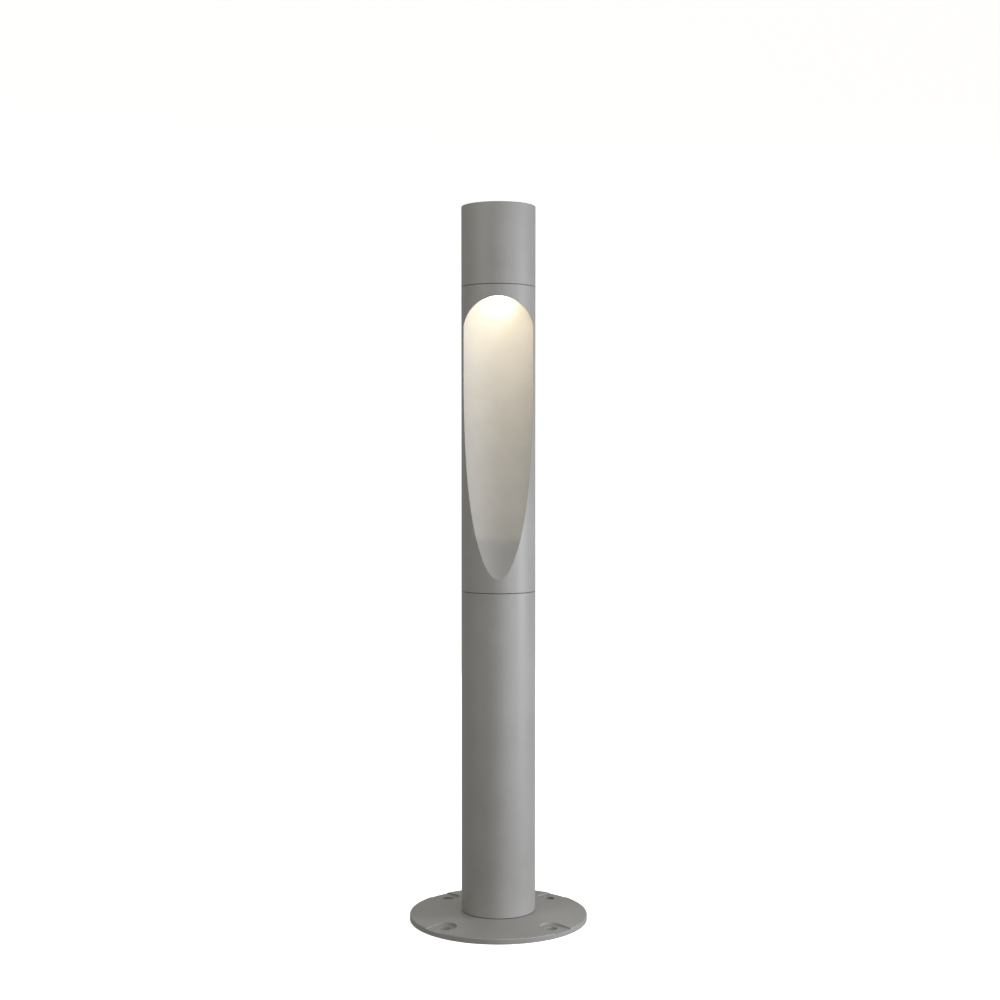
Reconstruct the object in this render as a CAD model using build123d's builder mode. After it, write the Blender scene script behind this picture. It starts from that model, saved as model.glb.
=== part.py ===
from build123d import *

import os
from math import asin, cos, degrees, radians, sin, sqrt

# Bollard light: a lit head with a scooped recess turns on a fixed post, and a cap closes its top.
# +Z is up, -Y is the lit front, and the origin is the centre of the base plate's underside.

os.makedirs("parts", exist_ok=True)

# ---------------------------------------------------------------- overall sizes
total_height = 800.0
post_d = 83.0
plate_d = 200.0
head_length = 340.0
cap_length = 90.0
swivel_gap = 0.6
cap_gap = 0.6
seam_chamfer = 0.2
post_r = post_d / 2
plate_r = plate_d / 2
cap_start_z = total_height - cap_length
head_start_z = cap_start_z - head_length

# ---------------------------------------------------------------- walls and fits
tube_wall = 3.0
head_wall = 3.0
scoop_wall = 3.0
cap_wall = 3.0
slip_gap = 0.05
free_gap = 0.3
running_gap = 0.05

# ---------------------------------------------------------------- screws
# Screw radii, how far a blind hole runs past its screw, and how far a screw shows behind a sheet.
m3_r = 1.5
m4_r = 2.0
drill_past = 1.0
screw_tail = 1.0
grub_sink = 0.4

# ---------------------------------------------------------------- base plate
plate_rim_t = 6.0
plate_hub_t = 10.0
plate_edge_round = 1.0
anchor_edge = 17.5
anchor_count = 4
anchor_hole_r = 6.5
anchor_pocket_r = 13.0
anchor_floor_z = 5.0
entry_r = 15.0
base_seal_t = 0.6
base_seal_inset = 0.6
base_seal_width = 8.0

# ---------------------------------------------------------------- foot plug and its screws
plug_floor_t = 12.0
plug_height = 30.0
plug_ring_t = 8.0
plug_screw_pcd = 50.0
plug_screw_count = 4
plug_screw_r = 3.0
plug_screw_length = 18.0
ring_screw_bite = 7.0

# ---------------------------------------------------------------- cable gland
gland_thread_r = 10.0
gland_bore_r = 6.5
gland_hex_r = 13.0
gland_flange_t = 4.0
gland_neck_h = 8.0
gland_cup_r = 8.3
gland_cup_depth = 6.0
gland_seal_bore_r = 5.0
gland_seal_lip = 1.5
gland_seal_chamfer = 1.4
gland_nut_gap = 1.0
gland_nut_h = 12.0
gland_nut_chamfer = 1.2

# ---------------------------------------------------------------- terminal block and wiring
flex_r = 3.5
core_r = 1.05
block_size = (34.0, 18.0, 24.0)
block_z = 95.0
block_pitch = 10.0
block_way_r = 2.1
block_edge_round = 1.5
block_groove_width = 1.2
block_groove_depth = 1.5
block_screw_inset = 6.0
block_fixing_x = 13.5
block_fixing_inset = 4.0
terminal_screw_r = 2.0
terminal_screw_length = 5.5
terminal_screw_sink = 1.5
bracket_t = 2.0
bracket_width = 32.0
bracket_top_z = 160.0
bracket_edge_gap = 0.5
bracket_screw_x = 10.0
clip_z = 150.0
clip_width = 8.0
clip_wall = 1.6
clip_tab_t = 2.5
clip_pad = 3.5
core_entry = 4.0
core_bend_r = 4.6
core_top_run = 6.0
core_low_run = 5.0
core_spread = 1.25
middle_core_y = 0.95
side_core_y = -0.85
earth_lug_t = 1.0
earth_lug_r = 4.0
earth_lug_width = 3.4
earth_lug_reach = 10.0

# ---------------------------------------------------------------- internal flex
flex_strip_z = 142.0
flex_split_rise = 30.0
flex_low_turn = 92.0
flex_high_turn = 165.0
flex_turn_r = 160.0
flex_rise_y = 20.0
grommet_flange_t = 2.0
grommet_hole_r = flex_r + 2.5
grommet_flange_r = flex_r + 4.5

# ---------------------------------------------------------------- swivel joint
collar_wall = 8.5
collar_height = 27.2
spigot_plug_h = 25.0
spigot_wall = 5.5
spigot_height = 26.0
spigot_web_t = 4.0
spigot_chamfer = 1.0
stop_pin_r = 2.0
stop_pin_rise = 12.0
stop_pin_sink = 0.5
stop_pin_clear = 0.5
stop_groove_depth = 3.0
stop_web_root = 0.5
stop_turn = 170.0
clamp_screw_r = 2.5
clamp_screw_rise = 21.0
clamp_angles = (55.0, 125.0)
shell_drill = 12.0
o_ring_r = 1.25
o_ring_groove_h = 2.8
swivel_ring_rise = 5.5
swivel_washer_inset = 3.0

# ---------------------------------------------------------------- scooped recess
# Its back runs straight down from the deck and swings forward below. An elliptical arch cut straight
# through the front wall closes its top.
scoop_depth = 35.9
scoop_r = 85.0
scoop_low_drop = 98.5
scoop_arc_r = 728.0
scoop_arc_angle = 20.5
arch_drop = 51.7
arch_inset = 2.0
arch_height = 39.0

# ---------------------------------------------------------------- deck, lens and lamp
# The lens stands at the front of the deck, with its frame set back from the inside of the neck.
deck_t = 7.0
neck_wall = 3.2
neck_height = 14.0
lens_setback = 0.5
lens_r = 12.5
lens_t = 4.0
lens_ledge = 1.5
lens_gasket_t = 1.0
lens_frame_t = 3.0
lens_frame_band = 2.5
lens_frame_land = 5.0
lens_ear_reach = 2.5
lens_ear_width = 7.0
frame_screw_bite = 5.0
board_t = 1.6
board_inset = 1.0
board_tab_width = 11.0
board_tab_y = 3.5
connector_size = (8.0, 5.0, 2.6)
pad_t = 0.8
led_size = 3.5
led_pitch = 6.4
led_t = 1.0

# ---------------------------------------------------------------- heat sink and driver
sink_neck_gap = 2.0
sink_plate_t = 4.0
sink_fin_h = 24.0
sink_fin_t = 1.6
sink_fin_pitch = 5.4
sink_fin_count = 9
sink_fin_inset = 2.0
sink_fin_back_y = -8.0
sink_boss_r = 3.6
sink_post_inset = 4.5
sink_post_angles = (-17.0, 37.0, 143.0, 197.0)
sink_screw_bite = 7.0
sink_hole_depth = 10.0
driver_size = (34.0, 20.0, 56.0)
driver_front_y = 6.0
driver_lift = 6.0
driver_edge_round = 2.0
driver_top_chamfer = 0.8
driver_screw_heights = (10.0, 44.0)
driver_screw_bite = 4.0
driver_lid_t = 5.0
driver_groove = 0.5
driver_well_r = 1.6
driver_well_depth = 1.5
driver_well_inset = 3.5
driver_bracket_t = 1.5
driver_bracket_gap = 0.8
driver_bracket_holes = ((-12.0, -3.5), (12.0, -3.5))
lead_r = 0.8
lead_bend_r = 4.5
lead_spacing = 4.0
lead_inset = 3.5
lead_slot = (12.0, 5.0)

# ---------------------------------------------------------------- cap
cap_top_t = 3.0
cap_seat_wall = 5.0
cap_edge_round = 0.6
cap_screw_rise = 7.0
cap_ring_rise = 11.0
cap_ring_r = 1.0

# ---------------------------------------------------------------- derived sizes
anchor_pcd = plate_d - 2 * anchor_edge
tube_bottom_z = plate_hub_t + base_seal_t
tube_inner_r = post_r - tube_wall
plug_r = tube_inner_r - slip_gap
plug_top_z = plate_hub_t + plug_height
plug_floor_z = plate_hub_t + plug_floor_t
ring_screw_r = plug_r - plug_ring_t / 2 - free_gap
bracket_face_y = block_size[1] / 2
bracket_screw_y = sqrt(ring_screw_r**2 - bracket_screw_x**2)
bracket_screw_places = ((-bracket_screw_x, bracket_screw_y), (bracket_screw_x, bracket_screw_y))
clip_screw_x = flex_r + clip_wall + clip_pad
earth_y = -ring_screw_r
flex_split_z = head_start_z + flex_split_rise
collar_r = post_r - collar_wall
spigot_r = collar_r - running_gap
spigot_top_z = head_start_z + spigot_height
head_bottom_z = head_start_z + swivel_gap
collar_top_z = head_bottom_z + collar_height
stop_pin_z = head_start_z + stop_pin_rise
clamp_screw_z = head_start_z + clamp_screw_rise
swivel_ring_z = head_start_z + swivel_ring_rise
head_inner_r = post_r - head_wall
scoop_back_y = scoop_depth - post_r
scoop_axis_y = scoop_back_y - scoop_r
scoop_low_z = cap_start_z - scoop_low_drop
arch_z = cap_start_z - arch_drop
deck_z = cap_start_z - deck_t
cap_inner_r = post_r - cap_wall
neck_r = cap_inner_r - free_gap
neck_inner_r = neck_r - neck_wall
neck_top_z = cap_start_z + neck_height
cap_bottom_z = cap_start_z + cap_gap
cap_screw_z = cap_start_z + cap_screw_rise
cap_ring_z = cap_start_z + cap_ring_rise
cap_ring_depth = 2 * cap_ring_r - free_gap + slip_gap
lens_frame_r = lens_r + lens_frame_band
lens_y = lens_setback + lens_frame_r - neck_inner_r
well_r = lens_r - lens_ledge
lens_seat_z = cap_start_z - lens_t - lens_gasket_t
lens_ear_x = lens_frame_r + lens_ear_reach
ear_places = ((-lens_ear_x, lens_y), (lens_ear_x, lens_y))
board_r = lens_frame_r - board_inset
board_z = cap_start_z + lens_frame_t
sink_r = neck_inner_r - sink_neck_gap
sink_post_r = sink_r - sink_post_inset
sink_posts = [(sink_post_r * cos(radians(a)), sink_post_r * sin(radians(a))) for a in sink_post_angles]
sink_z = board_z + board_t + pad_t
sink_top_z = sink_z + sink_plate_t
driver_z = sink_top_z + driver_lift
driver_screw_zs = [driver_z + height for height in driver_screw_heights]
driver_back_y = driver_front_y + driver_size[1]
lead_y = driver_front_y + lead_inset


# ---------------------------------------------------------------- shared shapes
def radial_plane(angle, radius, z):
    """Plane that faces outwards from the post's axis at an angle, a radius and a height."""
    direction = (cos(radians(angle)), sin(radians(angle)), 0)
    return Plane(origin=(radius * direction[0], radius * direction[1], z), z_dir=direction)


def pan_screw(shank_r, length):
    """Pan-head screw, head up, with the underside of its head at the origin."""
    head_r = shank_r * 1.9
    head_t = shank_r * 1.2
    with BuildPart() as screw:
        with BuildSketch(Plane.XY):
            Circle(head_r)
        extrude(amount=head_t)
        fillet(screw.edges().group_by(Axis.Z)[-1], head_t * 0.45)
        with BuildSketch(Plane.XY):
            Circle(shank_r)
        extrude(amount=-length)
        chamfer(screw.edges().group_by(Axis.Z)[0], shank_r * 0.25)
        with BuildSketch(Plane.XY.offset(head_t)):
            RegularPolygon(shank_r * 0.8, 6)
        extrude(amount=-head_t * 0.6, mode=Mode.SUBTRACT)
    return screw.part


def countersunk_screw(shank_r, length):
    """Countersunk socket screw, head up, with its flat top at the origin."""
    head_r = shank_r * 2
    with BuildPart() as screw:
        with BuildSketch(Plane.XZ):
            with BuildLine():
                Polyline(
                    (0, 0), (head_r, 0), (shank_r, shank_r - head_r), (shank_r, -length),
                    (0, -length), close=True,
                )
            make_face()
        revolve(axis=Axis.Z)
        with BuildSketch(Plane.XY):
            RegularPolygon(shank_r * 0.75, 6)
        extrude(amount=-shank_r, mode=Mode.SUBTRACT)
    return screw.part


def grub_screw(shank_r, length):
    """Headless socket screw with its socket end at the origin."""
    with BuildPart() as screw:
        with BuildSketch(Plane.XY):
            Circle(shank_r)
        extrude(amount=-length)
        chamfer(screw.edges().group_by(Axis.Z)[-1], shank_r * 0.2)
        with BuildSketch(Plane.XY):
            RegularPolygon(shank_r * 0.55, 6)
        extrude(amount=-length * 0.5, mode=Mode.SUBTRACT)
    return screw.part


def round_ring(centre_r, section_r, z):
    """Round-section rubber ring about the post's axis."""
    with BuildPart() as ring:
        with BuildSketch(Plane.XZ):
            with Locations((centre_r, z)):
                Circle(section_r)
        revolve(axis=Axis.Z)
    return ring.part


def wire(points, radii, wire_r):
    """Round wire along straight runs joined by tangent arcs, starting along the first run."""
    start = Vector(*points[0])
    with BuildPart() as lead:
        with BuildLine() as route:
            FilletPolyline(*points, radius=radii)
        with BuildSketch(Plane(origin=start, z_dir=Vector(*points[1]) - start)):
            Circle(wire_r)
        sweep(path=route.wires()[0])
    return lead.part


def grommet(y, sheet_z, sheet_t):
    """Flanged rubber grommet for the flex, in a hole through a sheet that starts at sheet_z."""
    with BuildPart() as bush:
        with BuildSketch(Plane(origin=(0, y, sheet_z))):
            Circle(grommet_hole_r)
        extrude(amount=sheet_t)
        for flange_z in (sheet_z - grommet_flange_t, sheet_z + sheet_t):
            with BuildSketch(Plane(origin=(0, y, flange_z))):
                Circle(grommet_flange_r)
            extrude(amount=grommet_flange_t)
        with BuildSketch(Plane(origin=(0, y, sheet_z - grommet_flange_t))):
            Circle(flex_r)
        extrude(amount=sheet_t + 2 * grommet_flange_t, mode=Mode.SUBTRACT)
    return bush.part


def save(piece, name):
    """Label a finished piece and write it to its own file."""
    piece.part.label = name
    export_step(piece.part, f"parts/{name}.step")


# ---------------------------------------------------------------- base plate
# Cast disc with a coned top. A flat pocket round each anchor hole runs out through the rim.
with BuildPart() as base_plate:
    with BuildSketch(Plane.XZ):
        with BuildLine():
            Polyline(
                (0, 0), (plate_r, 0), (plate_r, plate_rim_t), (post_r, plate_hub_t),
                (0, plate_hub_t), close=True,
            )
        make_face()
    revolve(axis=Axis.Z)
    plate_rims = base_plate.edges().filter_by(GeomType.CIRCLE)
    outer_plate_rims = plate_rims.filter_by(lambda e: e.radius > post_r + slip_gap)
    fillet(outer_plate_rims.sort_by(Axis.Z)[-1], plate_edge_round)
    with BuildSketch(Plane.XY.offset(anchor_floor_z)):
        with PolarLocations(anchor_pcd / 2, anchor_count, start_angle=45):
            Circle(anchor_pocket_r)
            Rectangle(plate_r, 2 * anchor_pocket_r, align=(Align.MIN, Align.CENTER))
    extrude(amount=plate_hub_t, mode=Mode.SUBTRACT)
    with BuildSketch(Plane.XY):
        with PolarLocations(anchor_pcd / 2, anchor_count, start_angle=45):
            Circle(anchor_hole_r)
        Circle(entry_r)
    extrude(amount=plate_hub_t, mode=Mode.SUBTRACT)
    with Locations(Plane(origin=(0, 0, 0), z_dir=(0, 0, -1))):
        with PolarLocations(plug_screw_pcd / 2, plug_screw_count):
            CounterSinkHole(
                plug_screw_r + free_gap,
                (plug_screw_r + slip_gap) * 2,
                counter_sink_angle=90,
            )
save(base_plate, "base_plate")

# ---------------------------------------------------------------- base seal
with BuildPart() as base_seal:
    with BuildSketch(Plane.XY.offset(plate_hub_t)):
        Circle(post_r - base_seal_inset)
        Circle(post_r - base_seal_width, mode=Mode.SUBTRACT)
    extrude(amount=base_seal_t)
save(base_seal, "base_seal")

# ---------------------------------------------------------------- foot plug
# Cast cup bonded into the foot of the post. The base plate is screwed to it from below.
with BuildPart() as foot_plug:
    with BuildSketch(Plane.XY.offset(plate_hub_t)):
        Circle(post_r - base_seal_width - free_gap)
    extrude(amount=base_seal_t)
    with BuildSketch(Plane.XY.offset(tube_bottom_z)):
        Circle(plug_r)
    extrude(amount=plug_top_z - tube_bottom_z)
    with BuildSketch(Plane.XY.offset(plug_floor_z)):
        Circle(plug_r - plug_ring_t)
    extrude(amount=plug_height, mode=Mode.SUBTRACT)
    with BuildSketch(Plane.XY.offset(plate_hub_t)):
        Circle(gland_thread_r + slip_gap)
    extrude(amount=plug_floor_t, mode=Mode.SUBTRACT)
    with BuildSketch(Plane.XY.offset(plate_hub_t)):
        with PolarLocations(plug_screw_pcd / 2, plug_screw_count):
            Circle(plug_screw_r + slip_gap)
    extrude(amount=plug_screw_length - plate_hub_t + drill_past, mode=Mode.SUBTRACT)
    with BuildSketch(Plane.XY.offset(plug_top_z)):
        with Locations(*bracket_screw_places, (0, earth_y)):
            Circle(m4_r + slip_gap)
    extrude(amount=-(ring_screw_bite + drill_past), mode=Mode.SUBTRACT)
save(foot_plug, "foot_plug")

plug_screw = countersunk_screw(plug_screw_r, plug_screw_length)
with BuildPart() as base_screws:
    with Locations(Plane(origin=(0, 0, 0), z_dir=(0, 0, -1))):
        with PolarLocations(plug_screw_pcd / 2, plug_screw_count):
            add(plug_screw)
save(base_screws, "base_screws")

# ---------------------------------------------------------------- cable gland
gland_flange_top = plug_floor_z + gland_flange_t
gland_neck_top = gland_flange_top + gland_neck_h
gland_cup_z = gland_neck_top - gland_cup_depth
gland_nut_z = gland_flange_top + gland_nut_gap
gland_lip_z = gland_neck_top + gland_seal_lip

with BuildPart() as gland_body:
    with BuildSketch(Plane.XY.offset(plate_hub_t)):
        Circle(gland_thread_r)
    extrude(amount=plug_floor_t)
    with BuildSketch(Plane.XY.offset(plug_floor_z)):
        RegularPolygon(gland_hex_r, 6)
    extrude(amount=gland_flange_t)
    with BuildSketch(Plane.XY.offset(gland_flange_top)):
        Circle(gland_thread_r)
    extrude(amount=gland_neck_h)
    with BuildSketch(Plane.XY.offset(plate_hub_t)):
        Circle(gland_bore_r)
    extrude(amount=plug_height, mode=Mode.SUBTRACT)
    with BuildSketch(Plane.XY.offset(gland_cup_z)):
        Circle(gland_cup_r)
    extrude(amount=plug_height, mode=Mode.SUBTRACT)
save(gland_body, "gland_body")

with BuildPart() as gland_seal:
    with BuildSketch(Plane.XY.offset(gland_cup_z)):
        Circle(gland_cup_r - slip_gap)
        Circle(gland_seal_bore_r, mode=Mode.SUBTRACT)
    extrude(amount=gland_lip_z - gland_cup_z)
    chamfer(gland_seal.edges().group_by(Axis.Z)[-1].sort_by(SortBy.LENGTH)[-1], gland_seal_chamfer)
save(gland_seal, "gland_seal")

with BuildPart() as gland_nut:
    with BuildSketch(Plane.XY.offset(gland_nut_z)):
        RegularPolygon(gland_hex_r, 6)
    extrude(amount=gland_nut_h)
    chamfer(gland_nut.edges().group_by(Axis.Z)[-1], gland_nut_chamfer)
    with BuildSketch(Plane.XY.offset(gland_nut_z)):
        Circle(gland_thread_r + slip_gap)
    extrude(amount=gland_lip_z + slip_gap - gland_nut_z, mode=Mode.SUBTRACT)
    with BuildSketch(Plane.XY.offset(gland_nut_z)):
        Circle(gland_bore_r)
    extrude(amount=plug_height, mode=Mode.SUBTRACT)
save(gland_nut, "gland_nut")

# ---------------------------------------------------------------- terminal bracket
# Bent steel strip. Its foot is screwed to the plug's ring, and its upright stands behind the block.
block_top_z = block_z + block_size[2]
block_fixing_places = (
    (-block_fixing_x, block_z + block_fixing_inset),
    (block_fixing_x, block_top_z - block_fixing_inset),
)
with BuildPart() as terminal_bracket:
    with BuildSketch(Plane.YZ):
        with BuildLine():
            Polyline(
                (bracket_face_y, plug_top_z),
                (plug_r, plug_top_z),
                (plug_r, plug_top_z + bracket_t),
                (bracket_face_y + bracket_t, plug_top_z + bracket_t),
                (bracket_face_y + bracket_t, bracket_top_z),
                (bracket_face_y, bracket_top_z),
                close=True,
            )
        make_face()
    extrude(amount=bracket_width / 2, both=True)
    with BuildSketch(Plane.XY.offset(plug_top_z)):
        Circle(plug_r - bracket_edge_gap)
    extrude(amount=bracket_top_z, mode=Mode.INTERSECT)
    with BuildSketch(Plane.XY.offset(plug_top_z)):
        with Locations(*bracket_screw_places):
            Circle(m4_r + free_gap)
    extrude(amount=bracket_t, mode=Mode.SUBTRACT)
    with BuildSketch(Plane.XZ.offset(-bracket_face_y)):
        with Locations(*block_fixing_places, (clip_screw_x, clip_z)):
            Circle(m3_r + free_gap)
    extrude(amount=-bracket_t, mode=Mode.SUBTRACT)
save(terminal_bracket, "terminal_bracket")

bracket_screw = pan_screw(m4_r, bracket_t + ring_screw_bite)
with BuildPart() as bracket_screws:
    with Locations(*[(x, y, plug_top_z + bracket_t) for x, y in bracket_screw_places]):
        add(bracket_screw)
save(bracket_screws, "bracket_screws")

# ---------------------------------------------------------------- terminal block
# Three-way block: the flex's cores enter from above and the ground cable's cores from below.
# Grooves in its front part the three ways.
block_ways = (-block_pitch, 0.0, block_pitch)
terminal_screw_zs = (block_z + block_screw_inset, block_top_z - block_screw_inset)
with BuildPart() as terminal_block:
    with BuildSketch(Plane.XY.offset(block_z)):
        Rectangle(block_size[0], block_size[1])
    extrude(amount=block_size[2])
    fillet(terminal_block.edges().filter_by(Axis.Z), block_edge_round)
    with BuildSketch(Plane.XY.offset(block_z)):
        with Locations(*[(x, 0) for x in block_ways]):
            Circle(block_way_r)
    extrude(amount=block_size[2], mode=Mode.SUBTRACT)
    with BuildSketch(Plane.XZ.offset(block_size[1] / 2)):
        with Locations(*[(x, z) for x in block_ways for z in terminal_screw_zs]):
            Circle(terminal_screw_r)
    extrude(amount=-block_size[1] / 2, mode=Mode.SUBTRACT)
    with BuildSketch(Plane.XZ.offset(block_size[1] / 2)):
        with Locations(*block_fixing_places):
            Circle(m3_r + slip_gap)
    extrude(amount=-block_size[1], mode=Mode.SUBTRACT)
    with BuildSketch(Plane.XZ.offset(block_size[1] / 2)):
        with Locations(*[(side * block_pitch / 2, block_z + block_size[2] / 2) for side in (-1, 1)]):
            Rectangle(block_groove_width, block_size[2])
    extrude(amount=-block_groove_depth, mode=Mode.SUBTRACT)
save(terminal_block, "terminal_block")

terminal_screw = grub_screw(terminal_screw_r - slip_gap, terminal_screw_length)
terminal_screw_y = terminal_screw_sink - block_size[1] / 2
with BuildPart() as terminal_screws:
    for x in block_ways:
        for z in terminal_screw_zs:
            with Locations(Plane(origin=(x, terminal_screw_y, z), z_dir=(0, -1, 0))):
                add(terminal_screw)
save(terminal_screws, "terminal_screws")

block_screw = pan_screw(m3_r, block_size[1] + bracket_t + screw_tail)
with BuildPart() as block_screws:
    for x, z in block_fixing_places:
        with Locations(Plane(origin=(x, -block_size[1] / 2, z), z_dir=(0, -1, 0))):
            add(block_screw)
save(block_screws, "block_screws")

# ---------------------------------------------------------------- strain clip
# Moulded saddle that holds the flex against the bracket above the block.
with BuildPart() as strain_clip:
    with BuildSketch(Plane.XY.offset(clip_z - clip_width / 2)):
        Circle(flex_r + clip_wall)
        Rectangle(2 * (flex_r + clip_wall), bracket_face_y, align=(Align.CENTER, Align.MIN))
        with Locations((0, bracket_face_y)):
            Rectangle(clip_screw_x + clip_pad, clip_tab_t, align=(Align.MIN, Align.MAX))
    extrude(amount=clip_width)
    with BuildSketch(Plane.XY.offset(clip_z - clip_width / 2)):
        Circle(flex_r)
    extrude(amount=clip_width, mode=Mode.SUBTRACT)
    with BuildSketch(Plane.XZ.offset(-bracket_face_y)):
        with Locations((clip_screw_x, clip_z)):
            Circle(m3_r + slip_gap)
    extrude(amount=clip_tab_t, mode=Mode.SUBTRACT)
save(strain_clip, "strain_clip")

clip_fixing = pan_screw(m3_r, clip_tab_t + bracket_t + screw_tail)
with BuildPart() as clip_screw:
    with Locations(Plane(origin=(clip_screw_x, bracket_face_y - clip_tab_t, clip_z), z_dir=(0, -1, 0))):
        add(clip_fixing)
save(clip_screw, "clip_screw")

# ---------------------------------------------------------------- internal flex, fixed stretch
# The flex rises on the post's axis, so turning the head twists it but doesn't move it.
with BuildPart() as post_flex:
    with BuildSketch(Plane.XY.offset(flex_strip_z)):
        Circle(flex_r)
    extrude(amount=flex_split_z - flex_strip_z)
save(post_flex, "post_flex")

# ---------------------------------------------------------------- flex cores
# Three cores leave the stripped flex: the middle one drops straight and the side ones spread.
core_drop_z = block_top_z - core_entry
side_cores = []
for side in (-1, 1):
    core_route = [
        (side * core_spread, side_core_y, flex_strip_z),
        (side * core_spread, side_core_y, flex_strip_z - core_top_run),
        (side * block_pitch, side_core_y, block_top_z + core_low_run),
        (side * block_pitch, side_core_y, core_drop_z),
    ]
    side_cores.append(wire(core_route, [core_bend_r, core_bend_r], core_r))

with BuildPart() as block_cores:
    with BuildSketch(Plane.XY.offset(core_drop_z)):
        with Locations((0, middle_core_y)):
            Circle(core_r)
    extrude(amount=flex_strip_z - core_drop_z)
    add(side_cores)
save(block_cores, "block_cores")

# ---------------------------------------------------------------- earth screw and lead
with BuildPart() as earth_lug:
    with BuildSketch(Plane.XY.offset(plug_top_z)):
        with Locations((0, earth_y)):
            Circle(earth_lug_r)
            Rectangle(earth_lug_width, earth_lug_reach, align=(Align.CENTER, Align.MIN))
            Circle(m4_r + slip_gap, mode=Mode.SUBTRACT)
    extrude(amount=earth_lug_t)
save(earth_lug, "earth_lug")

with BuildPart() as earth_screw:
    with Locations((0, earth_y, plug_top_z + earth_lug_t)):
        add(pan_screw(m4_r, earth_lug_t + ring_screw_bite))
save(earth_screw, "earth_screw")

# The lead lies on the lug, rises clear of the gland and turns up into the block from below.
earth_lead_z = plug_top_z + earth_lug_t + core_r
earth_route = [
    (0, earth_y + 8, earth_lead_z),
    (0, earth_y + 16, earth_lead_z),
    (block_pitch, -6, 70),
    (block_pitch, 0, block_z - 10),
    (block_pitch, 0, block_z + core_entry),
]
with BuildPart() as earth_lead:
    add(wire(earth_route, [6, 16, 20], core_r))
save(earth_lead, "earth_lead")

# ---------------------------------------------------------------- post tube
with BuildPart() as post_tube:
    with BuildSketch(Plane.XY.offset(tube_bottom_z)):
        Circle(post_r)
        Circle(tube_inner_r, mode=Mode.SUBTRACT)
    extrude(amount=head_start_z - tube_bottom_z)
    tube_rims = post_tube.edges().filter_by(GeomType.CIRCLE)
    outer_rims = tube_rims.filter_by(lambda e: e.radius > tube_inner_r + slip_gap)
    chamfer(outer_rims.group_by(Axis.Z)[0], seam_chamfer)
    chamfer(outer_rims.group_by(Axis.Z)[-1], seam_chamfer)
save(post_tube, "post_tube")

# ---------------------------------------------------------------- swivel spigot
# Turned hub bonded into the post's top. The head's collar turns on it, and a groove takes the stop pin.
stop_groove_h = 2 * stop_pin_r + 1
stop_groove_z = stop_pin_z - stop_groove_h / 2
stop_groove_r = spigot_r - stop_groove_depth
stop_pin_half_angle = degrees(asin((stop_pin_r + free_gap) / stop_groove_r))
stop_half_web = 180 - stop_turn - stop_pin_half_angle
with BuildPart() as swivel_spigot:
    with BuildSketch(Plane.XY.offset(head_start_z - spigot_plug_h)):
        Circle(tube_inner_r - slip_gap)
    extrude(amount=spigot_plug_h)
    with BuildSketch(Plane.XY.offset(head_start_z)):
        Circle(spigot_r)
    extrude(amount=spigot_height)
    with BuildSketch(Plane.XY.offset(head_start_z - spigot_plug_h)):
        Circle(spigot_r - spigot_wall)
    extrude(amount=spigot_plug_h + spigot_height - spigot_web_t, mode=Mode.SUBTRACT)
    with BuildSketch(Plane.XY.offset(spigot_top_z - spigot_web_t)):
        Circle(grommet_hole_r)
    extrude(amount=spigot_web_t, mode=Mode.SUBTRACT)
    with BuildSketch(Plane.XZ):
        with Locations((spigot_r, stop_pin_z)):
            Rectangle(2 * stop_groove_depth, stop_groove_h)
    revolve(axis=Axis.Z, mode=Mode.SUBTRACT)
    with BuildSketch(Plane.XZ):
        with Locations((spigot_r, swivel_ring_z)):
            Rectangle(4 * o_ring_r, o_ring_groove_h)
    revolve(axis=Axis.Z, mode=Mode.SUBTRACT)
    with BuildSketch(Plane.XY.offset(stop_groove_z)):
        with BuildLine():
            web_start = -90 - stop_half_web
            web_arc = CenterArc((0, 0), spigot_r, web_start, 2 * stop_half_web)
            root_arc = CenterArc((0, 0), stop_groove_r - stop_web_root, web_start, 2 * stop_half_web)
            Line(web_arc @ 0, root_arc @ 0)
            Line(web_arc @ 1, root_arc @ 1)
        make_face()
    extrude(amount=stop_groove_h)
    chamfer(swivel_spigot.edges().group_by(Axis.Z)[-1].sort_by(SortBy.LENGTH)[-1], spigot_chamfer)
save(swivel_spigot, "swivel_spigot")

with BuildPart() as spigot_grommet:
    add(grommet(0, spigot_top_z - spigot_web_t, spigot_web_t))
save(spigot_grommet, "spigot_grommet")

with BuildPart() as swivel_ring:
    add(round_ring(collar_r - slip_gap - o_ring_r, o_ring_r, swivel_ring_z))
save(swivel_ring, "swivel_ring")

# ---------------------------------------------------------------- swivel washer
# Thin slippery ring that carries the head's weight in the seam below it.
with BuildPart() as swivel_washer:
    with BuildSketch(Plane.XY.offset(head_start_z)):
        Circle(post_r - swivel_washer_inset)
        Circle(spigot_r + free_gap, mode=Mode.SUBTRACT)
    extrude(amount=swivel_gap - slip_gap)
save(swivel_washer, "swivel_washer")


# ---------------------------------------------------------------- head body
# One casting: shell, turning collar, scooped recess, deck over the lamp chamber, and neck for the cap.
def scoop_shape(grow):
    """Recess below the arch, as a solid of revolution about an upright axis in front of the post."""
    with BuildPart() as scoop:
        with BuildSketch(Plane(origin=(0, scoop_axis_y, 0), z_dir=(0, -1, 0), x_dir=(1, 0, 0))):
            with BuildLine():
                Line((scoop_r + grow, arch_z), (scoop_r + grow, scoop_low_z))
                tail = CenterArc(
                    (scoop_r - scoop_arc_r, scoop_low_z), scoop_arc_r + grow, 0, -scoop_arc_angle
                )
                Polyline(tail @ 1, (0, (tail @ 1).Y), (0, arch_z), (scoop_r + grow, arch_z))
            make_face()
        revolve(axis=Axis((0, scoop_axis_y, 0), (0, 0, 1)))
    return scoop.part


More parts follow.
